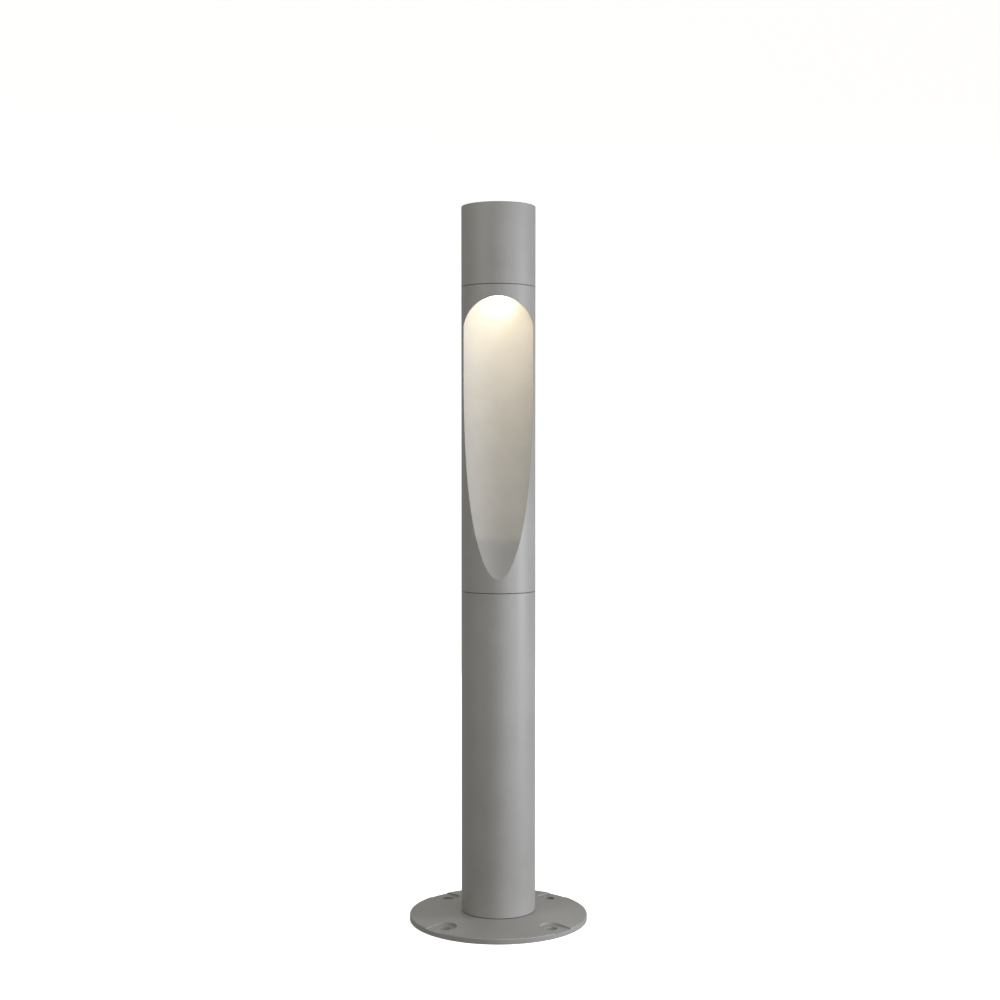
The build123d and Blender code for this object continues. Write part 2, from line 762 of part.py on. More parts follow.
def chamber_shape(grow):
    """Lamp chamber: the recess carried straight up behind the arch to the deck."""
    with BuildPart() as chamber:
        with BuildSketch(Plane.XY.offset(scoop_low_z)):
            with Locations((0, scoop_axis_y)):
                Circle(scoop_r + grow)
        extrude(amount=deck_z - scoop_low_z)
        with BuildSketch(Plane.XY.offset(scoop_low_z)):
            Circle(head_inner_r)
        extrude(amount=deck_z - scoop_low_z, mode=Mode.INTERSECT)
    return chamber.part


scoop = scoop_shape(0)
chamber = chamber_shape(0)
scoop_backing = scoop_shape(scoop_wall)
chamber_backing = chamber_shape(scoop_wall)

with BuildPart() as arch_window:
    with BuildSketch(Plane.XY.offset(scoop_low_z)):
        with Locations((0, scoop_axis_y)):
            Circle(scoop_r)
    extrude(amount=deck_z - scoop_low_z)
    with BuildSketch(Plane.XZ):
        with Locations((0, arch_z)):
            Ellipse(post_r - arch_inset, arch_height)
    extrude(amount=post_r + free_gap, mode=Mode.INTERSECT)

with BuildPart() as backing:
    with BuildSketch(Plane.XY.offset(collar_top_z)):
        Circle(head_inner_r)
    extrude(amount=deck_z - collar_top_z)
    add(scoop_backing, mode=Mode.INTERSECT)
    add(chamber_backing)

with BuildPart() as head_body:
    with BuildSketch(Plane.XY.offset(head_bottom_z)):
        Circle(post_r)
    extrude(amount=cap_start_z - head_bottom_z)
    chamfer(head_body.edges().group_by(Axis.Z)[0], seam_chamfer)
    with BuildSketch(Plane.XY.offset(cap_start_z)):
        Circle(neck_r)
    extrude(amount=neck_height)
    with BuildSketch(Plane.XY.offset(cap_start_z)):
        Circle(neck_inner_r)
    extrude(amount=neck_height, mode=Mode.SUBTRACT)
    with BuildSketch(Plane.XY.offset(collar_top_z)):
        Circle(head_inner_r)
    extrude(amount=deck_z - collar_top_z, mode=Mode.SUBTRACT)
    add(backing.part)
    with BuildSketch(Plane.XY.offset(head_bottom_z)):
        Circle(collar_r)
    extrude(amount=collar_height, mode=Mode.SUBTRACT)
    add(scoop, mode=Mode.SUBTRACT)
    add(chamber, mode=Mode.SUBTRACT)
    add(arch_window.part, mode=Mode.SUBTRACT)
    with BuildSketch(Plane.XY.offset(cap_start_z)):
        with Locations(*sink_posts):
            Circle(sink_boss_r)
    extrude(amount=sink_z - cap_start_z)
    with BuildSketch(Plane.XY.offset(sink_z)):
        with Locations(*sink_posts):
            Circle(m4_r + slip_gap)
    extrude(amount=-sink_hole_depth, mode=Mode.SUBTRACT)
    with BuildSketch(Plane.XY.offset(deck_z)):
        with Locations((0, lens_y)):
            Circle(well_r)
        with Locations((0, flex_rise_y)):
            Circle(grommet_hole_r)
    extrude(amount=deck_t, mode=Mode.SUBTRACT)
    with BuildSketch(Plane.XY.offset(lens_seat_z)):
        with Locations((0, lens_y)):
            Circle(lens_r + free_gap)
    extrude(amount=deck_t, mode=Mode.SUBTRACT)
    with BuildSketch(Plane.XY.offset(cap_start_z)):
        with Locations(*ear_places):
            Circle(m3_r + slip_gap)
    extrude(amount=-frame_screw_bite, mode=Mode.SUBTRACT)
    for angle in clamp_angles:
        with BuildSketch(radial_plane(angle, post_r, clamp_screw_z)):
            Circle(clamp_screw_r + slip_gap)
        extrude(amount=-shell_drill, mode=Mode.SUBTRACT)
    with BuildSketch(radial_plane(90, post_r, stop_pin_z)):
        Circle(stop_pin_r)
    extrude(amount=-shell_drill, mode=Mode.SUBTRACT)
    with BuildSketch(Plane.XZ):
        with Locations((neck_r, cap_ring_z)):
            Rectangle(2 * cap_ring_depth, o_ring_groove_h)
    revolve(axis=Axis.Z, mode=Mode.SUBTRACT)
save(head_body, "head_body")

# ---------------------------------------------------------------- swivel clamp and stop
# Two grub screws at the back clamp the turned head, and a pin in the groove stops it short of a full turn.
clamp_screw = grub_screw(clamp_screw_r, collar_wall - grub_sink)
with BuildPart() as clamp_screws:
    for angle in clamp_angles:
        with Locations(radial_plane(angle, post_r - grub_sink, clamp_screw_z)):
            add(clamp_screw)
save(clamp_screws, "clamp_screws")

with BuildPart() as stop_pin:
    with BuildSketch(radial_plane(90, post_r - stop_pin_sink, stop_pin_z)):
        Circle(stop_pin_r)
    extrude(amount=-(post_r - stop_pin_sink - stop_groove_r - stop_pin_clear))
    chamfer(stop_pin.edges().filter_by(GeomType.CIRCLE), stop_pin_r * 0.15)
save(stop_pin, "stop_pin")

# ---------------------------------------------------------------- internal flex, turning stretch
# It leaves the swivel on the axis, steps back behind the recess and enters the driver from below.
flex_route = [
    (0, 0, flex_split_z),
    (0, 0, head_start_z + flex_low_turn),
    (0, flex_rise_y, head_start_z + flex_high_turn),
    (0, flex_rise_y, driver_z),
]
with BuildPart() as head_flex:
    add(wire(flex_route, [flex_turn_r, flex_turn_r], flex_r))
save(head_flex, "head_flex")

with BuildPart() as deck_grommet:
    add(grommet(flex_rise_y, deck_z, deck_t))
save(deck_grommet, "deck_grommet")

# ---------------------------------------------------------------- lens and its gasket
with BuildPart() as lens_gasket:
    with BuildSketch(Plane.XY.offset(lens_seat_z)):
        with Locations((0, lens_y)):
            Circle(lens_r)
            Circle(well_r, mode=Mode.SUBTRACT)
    extrude(amount=lens_gasket_t)
save(lens_gasket, "lens_gasket")

with BuildPart() as lens:
    with BuildSketch(Plane.XY.offset(lens_seat_z + lens_gasket_t)):
        with Locations((0, lens_y)):
            Circle(lens_r)
    extrude(amount=lens_t)
    chamfer(lens.edges().filter_by(GeomType.CIRCLE), seam_chamfer)
save(lens, "lens")

# ---------------------------------------------------------------- lens frame
# Eared ring that presses the lens onto its gasket and carries the LED board. It stays clear of the
# lead connector behind it.
with BuildPart() as lens_frame:
    with BuildSketch(Plane.XY.offset(cap_start_z)):
        with Locations((0, lens_y)):
            Circle(lens_frame_r)
            SlotCenterToCenter(2 * lens_ear_x, lens_ear_width)
            Circle(lens_frame_r - lens_frame_land, mode=Mode.SUBTRACT)
        with Locations(*ear_places):
            Circle(m3_r + free_gap, mode=Mode.SUBTRACT)
        with Locations((0, board_tab_y - connector_size[1] / 2)):
            Rectangle(
                connector_size[0] + 2 * free_gap, connector_size[1] + 2 * free_gap, mode=Mode.SUBTRACT
            )
    extrude(amount=lens_frame_t)
save(lens_frame, "lens_frame")

frame_screw = pan_screw(m3_r, lens_frame_t + frame_screw_bite)
with BuildPart() as frame_screws:
    with Locations(*[(x, y, board_z) for x, y in ear_places]):
        add(frame_screw)
save(frame_screws, "frame_screws")

# ---------------------------------------------------------------- LED board
# Metal-core disc with four LEDs below and a tab that carries the lead connector behind the lens.
with BuildPart() as led_board:
    with BuildSketch(Plane.XY.offset(board_z)):
        with Locations((0, lens_y)):
            Circle(board_r)
            Rectangle(board_tab_width, board_tab_y - lens_y, align=(Align.CENTER, Align.MIN))
    extrude(amount=board_t)
save(led_board, "led_board")

with BuildPart() as led_chips:
    with BuildSketch(Plane.XY.offset(board_z - led_t)):
        with Locations((0, lens_y)):
            with GridLocations(led_pitch, led_pitch, 2, 2):
                Rectangle(led_size, led_size)
    extrude(amount=led_t)
save(led_chips, "led_chips")

with BuildPart() as board_connector:
    with BuildSketch(Plane.XY.offset(board_z - connector_size[2])):
        with Locations((0, board_tab_y)):
            Rectangle(connector_size[0], connector_size[1], align=(Align.CENTER, Align.MAX))
    extrude(amount=connector_size[2])
    chamfer(board_connector.edges().group_by(Axis.Z)[0], seam_chamfer)
save(board_connector, "board_connector")

with BuildPart() as thermal_pad:
    with BuildSketch(Plane.XY.offset(board_z + board_t)):
        with Locations((0, lens_y)):
            Circle(board_r)
    extrude(amount=pad_t)
save(thermal_pad, "thermal_pad")

# ---------------------------------------------------------------- heat sink
# Finned plate on the deck's bosses. Its front is finned over the lamp, and its back carries the driver.
with BuildPart() as heat_sink:
    with BuildSketch(Plane.XY.offset(sink_top_z)):
        with Locations((0, sink_fin_back_y)):
            with GridLocations(sink_fin_pitch, 1, sink_fin_count, 1):
                Rectangle(sink_fin_t, sink_r + sink_fin_back_y, align=(Align.CENTER, Align.MAX))
    extrude(amount=sink_fin_h)
    with BuildSketch(Plane.XY.offset(sink_z)):
        Circle(sink_r - sink_fin_inset)
    extrude(amount=sink_plate_t + sink_fin_h, mode=Mode.INTERSECT)
    with BuildSketch(Plane.XY.offset(sink_z)):
        Circle(sink_r)
    extrude(amount=sink_plate_t)
    with BuildSketch(Plane.XY.offset(sink_z)):
        with Locations(*sink_posts):
            Circle(m4_r + free_gap)
        with Locations((0, flex_rise_y)):
            Circle(grommet_hole_r)
        with Locations((0, lead_y)):
            SlotOverall(*lead_slot)
        with Locations(*driver_bracket_holes):
            Circle(m3_r + slip_gap)
    extrude(amount=sink_plate_t, mode=Mode.SUBTRACT)
save(heat_sink, "heat_sink")

sink_screw = pan_screw(m4_r, sink_plate_t + sink_screw_bite)
with BuildPart() as sink_screws:
    with Locations(*[(x, y, sink_top_z) for x, y in sink_posts]):
        add(sink_screw)
save(sink_screws, "sink_screws")

# ---------------------------------------------------------------- driver and bracket
# The LED driver stands on end behind the fins, screwed to an angle bracket on the heat sink. Its
# case has a lid at the back, with a groove round the joint and a screw well in each corner.
driver_bracket_front_y = sink_fin_back_y + driver_bracket_gap
with BuildPart() as driver_bracket:
    with BuildSketch(Plane.YZ):
        with BuildLine():
            Polyline(
                (driver_bracket_front_y, sink_top_z),
                (driver_front_y, sink_top_z),
                (driver_front_y, driver_z + driver_size[2]),
                (driver_front_y - driver_bracket_t, driver_z + driver_size[2]),
                (driver_front_y - driver_bracket_t, sink_top_z + driver_bracket_t),
                (driver_bracket_front_y, sink_top_z + driver_bracket_t),
                close=True,
            )
        make_face()
    extrude(amount=driver_size[0] / 2, both=True)
    with BuildSketch(Plane.XY.offset(sink_top_z)):
        with Locations(*driver_bracket_holes):
            Circle(m3_r + free_gap)
    extrude(amount=driver_bracket_t, mode=Mode.SUBTRACT)
    with BuildSketch(Plane.XZ.offset(-driver_front_y)):
        with Locations(*[(0, z) for z in driver_screw_zs]):
            Circle(m3_r + free_gap)
    extrude(amount=driver_bracket_t, mode=Mode.SUBTRACT)
save(driver_bracket, "driver_bracket")

bracket_fixing = pan_screw(m3_r, driver_bracket_t + sink_plate_t)
with BuildPart() as driver_bracket_screws:
    with Locations(*[(x, y, sink_top_z + driver_bracket_t) for x, y in driver_bracket_holes]):
        add(bracket_fixing)
save(driver_bracket_screws, "driver_bracket_screws")

with BuildPart() as driver:
    with BuildSketch(Plane.XY.offset(driver_z)):
        with Locations((0, driver_front_y)):
            Rectangle(driver_size[0], driver_size[1], align=(Align.CENTER, Align.MIN))
    extrude(amount=driver_size[2])
    fillet(driver.edges().filter_by(Axis.Z), driver_edge_round)
    chamfer(driver.edges().group_by(Axis.Z)[-1], driver_top_chamfer)
    with BuildSketch(Plane.XZ.offset(-driver_front_y)):
        with Locations(*[(0, z) for z in driver_screw_zs]):
            Circle(m3_r + slip_gap)
    extrude(amount=-(driver_screw_bite + drill_past), mode=Mode.SUBTRACT)
    with BuildSketch(Plane.XZ.offset(driver_lid_t - driver_back_y)):
        with Locations((0, driver_z + driver_size[2] / 2)):
            Rectangle(driver_size[0], driver_size[2])
            Rectangle(
                driver_size[0] - 2 * driver_groove, driver_size[2] - 2 * driver_groove, mode=Mode.SUBTRACT
            )
    extrude(amount=driver_groove, mode=Mode.SUBTRACT)
    with BuildSketch(Plane.XZ.offset(-driver_back_y)):
        with Locations((0, driver_z + driver_size[2] / 2)):
            with GridLocations(
                driver_size[0] - 2 * driver_well_inset, driver_size[2] - 2 * driver_well_inset, 2, 2
            ):
                Circle(driver_well_r)
    extrude(amount=driver_well_depth, mode=Mode.SUBTRACT)
save(driver, "driver")

driver_fixing = pan_screw(m3_r, driver_bracket_t + driver_screw_bite)
with BuildPart() as driver_screws:
    for z in driver_screw_zs:
        with Locations(Plane(origin=(0, driver_front_y - driver_bracket_t, z), z_dir=(0, -1, 0))):
            add(driver_fixing)
save(driver_screws, "driver_screws")

# ---------------------------------------------------------------- lamp leads
lead_z = board_z - connector_size[2] / 2
lead_pair = []
for x in (-lead_spacing / 2, lead_spacing / 2):
    lead_route = [(x, lead_y, driver_z), (x, lead_y, lead_z), (x, board_tab_y, lead_z)]
    lead_pair.append(wire(lead_route, [lead_bend_r], lead_r))

with BuildPart() as lamp_leads:
    add(lead_pair)
save(lamp_leads, "lamp_leads")

# ---------------------------------------------------------------- neck ring
with BuildPart() as neck_ring:
    add(round_ring(cap_inner_r - slip_gap - cap_ring_r, cap_ring_r, cap_ring_z))
save(neck_ring, "neck_ring")

# ---------------------------------------------------------------- cap
# Deep cup with a flat top. Its skirt slips over the head's neck, and two hidden grub screws hold it.
with BuildPart() as cap:
    with BuildSketch(Plane.XY.offset(cap_bottom_z)):
        Circle(post_r)
    extrude(amount=total_height - cap_bottom_z)
    fillet(cap.edges().group_by(Axis.Z)[-1], cap_edge_round)
    chamfer(cap.edges().group_by(Axis.Z)[0], seam_chamfer)
    with BuildSketch(Plane.XY.offset(cap_bottom_z)):
        Circle(cap_inner_r)
    extrude(amount=neck_top_z + slip_gap - cap_bottom_z, mode=Mode.SUBTRACT)
    with BuildSketch(Plane.XY.offset(cap_bottom_z)):
        Circle(post_r - cap_seat_wall)
    extrude(amount=total_height - cap_top_t - cap_bottom_z, mode=Mode.SUBTRACT)
    for angle in clamp_angles:
        with BuildSketch(radial_plane(angle, post_r, cap_screw_z)):
            Circle(clamp_screw_r + slip_gap)
        extrude(amount=-cap_seat_wall, mode=Mode.SUBTRACT)
save(cap, "cap")

cap_screw = grub_screw(clamp_screw_r, cap_wall - grub_sink)
with BuildPart() as cap_screws:
    for angle in clamp_angles:
        with Locations(radial_plane(angle, post_r - grub_sink, cap_screw_z)):
            add(cap_screw)
save(cap_screws, "cap_screws")
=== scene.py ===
from math import cos, pi, radians, sin

import bmesh
import bpy
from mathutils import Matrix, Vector


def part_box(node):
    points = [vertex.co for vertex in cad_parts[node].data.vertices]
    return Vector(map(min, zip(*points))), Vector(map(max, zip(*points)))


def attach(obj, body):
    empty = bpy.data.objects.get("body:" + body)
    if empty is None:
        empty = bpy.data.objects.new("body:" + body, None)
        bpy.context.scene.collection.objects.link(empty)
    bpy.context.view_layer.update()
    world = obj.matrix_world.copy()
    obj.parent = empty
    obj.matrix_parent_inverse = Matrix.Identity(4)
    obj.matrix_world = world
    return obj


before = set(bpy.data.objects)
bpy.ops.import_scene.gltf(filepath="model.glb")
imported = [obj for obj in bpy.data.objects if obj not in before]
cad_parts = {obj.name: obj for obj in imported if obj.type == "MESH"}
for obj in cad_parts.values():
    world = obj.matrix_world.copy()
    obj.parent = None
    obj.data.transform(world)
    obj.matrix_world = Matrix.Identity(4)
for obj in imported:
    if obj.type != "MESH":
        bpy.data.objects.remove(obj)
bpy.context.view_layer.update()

# ---------------------------------------------------------------- camera
# A long lens looks at the lit front from just above mid height, tipped down a degree and a half,
# and stands a hair to the right of the post's axis.
camera_distance = 1.759
camera_height = 0.5206
camera_side = 0.0018
camera_tip = 1.57
camera_lens = 56.39
camera_sensor = 36.0
camera_reach = (0.05, 60.0)

camera = bpy.data.objects.new("camera", bpy.data.cameras.new("camera"))
camera.data.sensor_width = camera_sensor
camera.data.lens = camera_lens
camera.data.clip_start, camera.data.clip_end = camera_reach
camera.location = (camera_side, -camera_distance, camera_height)
camera.rotation_euler = (radians(90.0 - camera_tip), 0.0, 0.0)
bpy.context.scene.collection.objects.link(camera)
bpy.context.scene.camera = camera
bpy.context.scene.view_settings.view_transform = "Standard"

# ---------------------------------------------------------------- studio floor
# A round sheet of white paper that curves up into a wall all round, so every side has a plain
# ground. It is lit to nearly pure white. A patch of it in the plate's own shade stays dull, and
# keeps the anchor holes dark.
paper_patch_r = 0.099
paper_patch_z = -0.0003
paper_flat_r = 0.5
paper_floor_r = 5.0
paper_cove_r = 2.5
paper_wall_top = 7.0
paper_sides = 96
cove_steps = 12
paper_white = (0.80, 0.80, 0.79, 1.0)
paper_light = (1.0, 1.0, 1.0, 1.0)
paper_rough = 0.9
paper_glow = 0.72


def lathe(name, outline, sides):
    """Turned mesh from (radius, height) points; a point at radius 0 closes the middle."""
    shape = bmesh.new()
    rings = []
    for radius, height in outline:
        if radius == 0.0:
            rings.append([shape.verts.new((0.0, 0.0, height))])
            continue
        ring = []
        for step in range(sides):
            turn = 2.0 * pi * step / sides
            ring.append(shape.verts.new((radius * cos(turn), radius * sin(turn), height)))
        rings.append(ring)
    for lower, upper in zip(rings, rings[1:]):
        for step in range(sides):
            after = (step + 1) % sides
            corners = [lower[step % len(lower)], lower[after % len(lower)]]
            corners += [upper[after % len(upper)], upper[step % len(upper)]]
            shape.faces.new(list(dict.fromkeys(corners)))
    bmesh.ops.recalc_face_normals(shape, faces=shape.faces)
    mesh = bpy.data.meshes.new(name)
    shape.to_mesh(mesh)
    shape.free()
    mesh.shade_smooth()
    made = bpy.data.objects.new(name, mesh)
    bpy.context.scene.collection.objects.link(made)
    return made


def new_finish(name):
    """A new finish: its material, node tree, shader, and the piece's own coordinates."""
    finish = bpy.data.materials.new(name)
    finish.use_nodes = True
    tree = finish.node_tree
    place = tree.nodes.new("ShaderNodeTexCoord").outputs["Object"]
    return finish, tree, tree.nodes["Principled BSDF"], place


def studio_paper(name, glow):
    """Matt white paper that shines by itself as strongly as glow says."""
    finish, _, shader, _ = new_finish(name)
    shader.inputs["Base Color"].default_value = paper_white
    shader.inputs["Roughness"].default_value = paper_rough
    shader.inputs["Emission Color"].default_value = paper_light
    shader.inputs["Emission Strength"].default_value = glow
    return finish


cove = []
for step in range(cove_steps + 1):
    rise = 0.5 * pi * step / cove_steps
    cove.append((paper_floor_r + paper_cove_r * sin(rise), paper_cove_r * (1.0 - cos(rise))))
paper_wall = (paper_floor_r + paper_cove_r, paper_wall_top)
paper_outline = [(paper_patch_r, 0.0), (paper_flat_r, 0.0), *cove, paper_wall]
paper_sweep = lathe("paper_sweep", paper_outline, paper_sides)
paper_sweep.visible_diffuse = False
paper_sweep.visible_glossy = False
paper_sweep.visible_shadow = False
paper_sweep.data.materials.append(studio_paper("studio_paper", paper_glow))

patch_outline = [(0.0, paper_patch_z), (paper_patch_r, paper_patch_z)]
paper_patch = lathe("paper_patch", patch_outline, paper_sides)
paper_patch.data.materials.append(studio_paper("shaded_paper", 0.0))

# ---------------------------------------------------------------- studio light
# White surround, brightest high at the front and low behind, as a lit paper studio is. A tall
# softbox stands far round to the right, with weak ones front right and high front left, so the
# left flank stays in even shade. The last one lights the back without shining in the coat.
surround_front_high = (0.66, 0.645, 0.63, 1.0)
surround_front_low = (0.08, 0.078, 0.076, 1.0)
surround_back_high = (0.29, 0.28, 0.275, 1.0)
surround_back_low = (0.46, 0.445, 0.435, 1.0)
surround_turns_back = (-0.4, 0.2)
surround_turns_high = (-0.1, 0.35)
softbox_aim = Vector((0.0, 0.0, 0.5))
cool_white = (0.89, 0.91, 1.0)
warm_white = (1.0, 0.98, 0.96)
softboxes = {
    # name: degrees round from the front, height, distance, size, power in watts, colour
    "key_softbox": (75.0, 0.45, 1.35, (0.45, 0.9), 18.7, cool_white),
    "front_softbox": (33.0, 0.40, 1.35, (0.45, 0.9), 8.6, cool_white),
    "head_softbox": (-48.0, 1.10, 1.20, (0.6, 0.6), 5.2, warm_white),
    "back_softbox": (180.0, 0.90, 1.90, (1.2, 1.2), 16.0, warm_white),
}
none_to_all = (0.0, 1.0)


def ranged(tree, value, given, wanted):
    """Value carried from a given range to the wanted one, and held inside it."""
    carry = tree.nodes.new("ShaderNodeMapRange")
    carry.inputs["From Min"].default_value, carry.inputs["From Max"].default_value = given
    carry.inputs["To Min"].default_value, carry.inputs["To Max"].default_value = wanted
    tree.links.new(value, carry.inputs["Value"])
    return carry.outputs["Result"]


def mixed(tree, amount, low, high):
    """Colour between low and high by an amount from 0 to 1; either may be a socket or a colour."""
    mix = tree.nodes.new("ShaderNodeMix")
    mix.data_type = "RGBA"
    tree.links.new(amount, mix.inputs[0])
    for socket, colour in ((mix.inputs[6], low), (mix.inputs[7], high)):
        if isinstance(colour, bpy.types.NodeSocket):
            tree.links.new(colour, socket)
        else:
            socket.default_value = colour
    return mix.outputs[2]


def split(tree, vector):
    """The three parts of a vector, by their letters."""
    parts = tree.nodes.new("ShaderNodeSeparateXYZ")
    tree.links.new(vector, parts.inputs["Vector"])
    return parts.outputs


world = bpy.data.worlds.new("studio_surround")
bpy.context.scene.world = world
world.use_nodes = True
sky = world.node_tree
direction = split(sky, sky.nodes.new("ShaderNodeTexCoord").outputs["Generated"])
frontness = ranged(sky, direction["Y"], surround_turns_back, (1.0, 0.0))
highness = ranged(sky, direction["Z"], surround_turns_high, none_to_all)
surround_low = mixed(sky, frontness, surround_back_low, surround_front_low)
surround_high = mixed(sky, frontness, surround_back_high, surround_front_high)
surround = mixed(sky, highness, surround_low, surround_high)
sky.links.new(surround, sky.nodes["Background"].inputs["Color"])

for name, (turn, height, distance, size, power, colour) in softboxes.items():
    softbox = bpy.data.objects.new(name, bpy.data.lights.new(name, "AREA"))
    softbox.data.shape = "RECTANGLE"
    softbox.data.size, softbox.data.size_y = size
    softbox.data.energy = power
    softbox.data.color = colour
    softbox.location = (distance * sin(radians(turn)), -distance * cos(radians(turn)), height)
    softbox.rotation_euler = (softbox_aim - softbox.location).to_track_quat("-Z", "Y").to_euler()
    softbox.visible_glossy = name != "back_softbox"
    bpy.context.scene.collection.objects.link(softbox)

# ---------------------------------------------------------------- painted shell
# Base plate, post tube, head casting and cap are aluminium under one warm grey powder coat.
# The coat is satin, with a fine orange peel, faint cloudiness and slightly paler edges.
coat_grey = (0.225, 0.221, 0.202, 1.0)
coat_grey_pale = (0.245, 0.241, 0.222, 1.0)
coat_grey_edge = (0.31, 0.305, 0.285, 1.0)
coat_edge_width = 0.0006
coat_edge_share = (0.0, 0.5)
coat_cloud_size = 0.05
coat_fleck_size = 0.0007
coat_fleck_band = (0.55, 0.75)
coat_fleck_share = (0.0, 0.25)
coat_fleck_depth = 0.000012
coat_peel_size = 0.0014
coat_peel_depth = 0.00002
coat_rough = (0.46, 0.54)
# Most of a noise lies in the wide band; the narrow band makes its clouds more distinct.
wide_band = (0.3, 0.7)
narrow_band = (0.35, 0.65)
# A noise carries this many finer layers.
one_layer = 1.0
two_layers = 2.0
three_layers = 3.0
four_layers = 4.0
five_layers = 5.0
edge_samples = 4
edge_flat_to_sharp = (1.0, 0.8)


def noise(tree, place, size, detail=two_layers):
    """Noise whose features are about this size in metres."""
    grain = tree.nodes.new("ShaderNodeTexNoise")
    grain.inputs["Scale"].default_value = 1.0 / size
    grain.inputs["Detail"].default_value = detail
    tree.links.new(place, grain.inputs["Vector"])
    return grain.outputs["Fac"]


def bump(tree, height, depth, under=None):
    """Normal of a surface raised by height times depth in metres, over another normal if given."""
    raised = tree.nodes.new("ShaderNodeBump")
    raised.inputs["Distance"].default_value = depth
    tree.links.new(height, raised.inputs["Height"])
    if under is not None:
        tree.links.new(under, raised.inputs["Normal"])
    return raised.outputs["Normal"]


def worn_edge(tree, width):
    """Mask that is 1 on sharp edges and 0 on open faces, with the softly rounded normal."""
    rounded = tree.nodes.new("ShaderNodeBevel")
    rounded.samples = edge_samples
    rounded.inputs["Radius"].default_value = width
    flat = tree.nodes.new("ShaderNodeNewGeometry")
    alike = tree.nodes.new("ShaderNodeVectorMath")
    alike.operation = "DOT_PRODUCT"
    tree.links.new(rounded.outputs["Normal"], alike.inputs[0])
    tree.links.new(flat.outputs["Normal"], alike.inputs[1])
    mask = ranged(tree, alike.outputs["Value"], edge_flat_to_sharp, none_to_all)
    return mask, rounded.outputs["Normal"]


def surface(tree, shader, colour, roughness, normal):
    """Gives a shader its colour, roughness and normal."""
    tree.links.new(colour, shader.inputs["Base Color"])
    tree.links.new(roughness, shader.inputs["Roughness"])
    tree.links.new(normal, shader.inputs["Normal"])


def dress(finish, *nodes):
    """Puts one finish on every face of these CAD nodes."""
    for node in nodes:
        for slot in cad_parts[node].material_slots:
            slot.material = finish


coat, tree, shader, place = new_finish("grey_powder_coat")
edge, rounded = worn_edge(tree, coat_edge_width)
cloud = noise(tree, place, coat_cloud_size, three_layers)
fleck = noise(tree, place, coat_fleck_size, one_layer)
clouded = mixed(tree, ranged(tree, cloud, narrow_band, none_to_all), coat_grey, coat_grey_pale)
flecked = mixed(tree, ranged(tree, fleck, coat_fleck_band, coat_fleck_share), clouded, coat_grey_edge)
edged = mixed(tree, ranged(tree, edge, none_to_all, coat_edge_share), flecked, coat_grey_edge)
peel = bump(tree, noise(tree, place, coat_peel_size, one_layer), coat_peel_depth, rounded)
skin = bump(tree, fleck, coat_fleck_depth, peel)
surface(tree, shader, edged, ranged(tree, cloud, wide_band, coat_rough), skin)
dress(coat, "base_plate", "post_tube", "head_body", "cap")

# ---------------------------------------------------------------- rubber seals and grommets
# The base gasket, the gland's seal, both O-rings and both flex grommets are moulded black rubber,
# matt, with a fine grain, a grey bloom in places and the faint shine of handled edges.
rubber_black = (0.012, 0.012, 0.013, 1.0)
rubber_bloom = (0.045, 0.045, 0.048, 1.0)
rubber_bloom_size = 0.006
rubber_bloom_band = (0.45, 0.75)
rubber_grain_size = 0.0004
rubber_grain_depth = 0.00003
rubber_edge_width = 0.0003
rubber_rough_to_handled = (0.72, 0.45)

rubber, tree, shader, place = new_finish("moulded_black_rubber")
edge, rounded = worn_edge(tree, rubber_edge_width)
bloom = ranged(tree, noise(tree, place, rubber_bloom_size, four_layers), rubber_bloom_band, none_to_all)
grain = bump(tree, noise(tree, place, rubber_grain_size), rubber_grain_depth, rounded)
rough = ranged(tree, edge, none_to_all, rubber_rough_to_handled)
surface(tree, shader, mixed(tree, bloom, rubber_black, rubber_bloom), rough, grain)
dress(rubber, "base_seal", "gland_seal", "swivel_ring")
dress(rubber, "spigot_grommet", "deck_grommet", "neck_ring")

# ---------------------------------------------------------------- stainless fasteners
# Every screw but the brass ones, and the stop pin, is plain stainless steel. Heads are turned, so
# fine marks cross them, and the drive edges are a little polished by the key.
steel_dark = (0.42, 0.42, 0.42, 1.0)
steel_bright = (0.66, 0.66, 0.655, 1.0)
steel_edge_width = 0.0002
steel_cloud_size = 0.003
steel_mark_size = 0.0011
steel_mark_stretch = (1.0, 1.0, 9.0)
steel_rough = (0.24, 0.42)
tool_mark_depth = 0.00001


def stretched(tree, place, stretch):
    """Coordinates multiplied along each axis, so that a texture is drawn out across the others."""
    scale = tree.nodes.new("ShaderNodeVectorMath")
    scale.operation = "MULTIPLY"
    scale.inputs[1].default_value = stretch
    tree.links.new(place, scale.inputs[0])
    return scale.outputs["Vector"]


steel, tree, shader, place = new_finish("stainless_fastener")
edge, rounded = worn_edge(tree, steel_edge_width)
marks = noise(tree, stretched(tree, place, steel_mark_stretch), steel_mark_size, three_layers)
cloud = ranged(tree, noise(tree, place, steel_cloud_size, three_layers), wide_band, none_to_all)
colour = mixed(tree, edge, mixed(tree, cloud, steel_dark, steel_bright), steel_bright)
rough = ranged(tree, marks, wide_band, steel_rough)
surface(tree, shader, colour, rough, bump(tree, marks, tool_mark_depth, rounded))
shader.inputs["Metallic"].default_value = 1.0
dress(steel, "base_screws", "bracket_screws", "block_screws", "clip_screw", "clamp_screws", "stop_pin")
dress(steel, "frame_screws", "sink_screws", "driver_bracket_screws", "driver_screws", "cap_screws")

# ---------------------------------------------------------------- foot plug
# Sand-cast aluminium cup, left raw: a coarse dull skin with pits, bonded into the post's foot.
# The base plate hangs on it by four screws from below.
casting_grey = (0.40, 0.40, 0.395, 1.0)
casting_pale = (0.58, 0.58, 0.57, 1.0)
casting_edge_width = 0.0008
casting_cloud_size = 0.02
casting_pit_size = 0.0016
casting_pit_depth = 0.0001
casting_rough = (0.5, 0.72)
casting_metal = 0.9

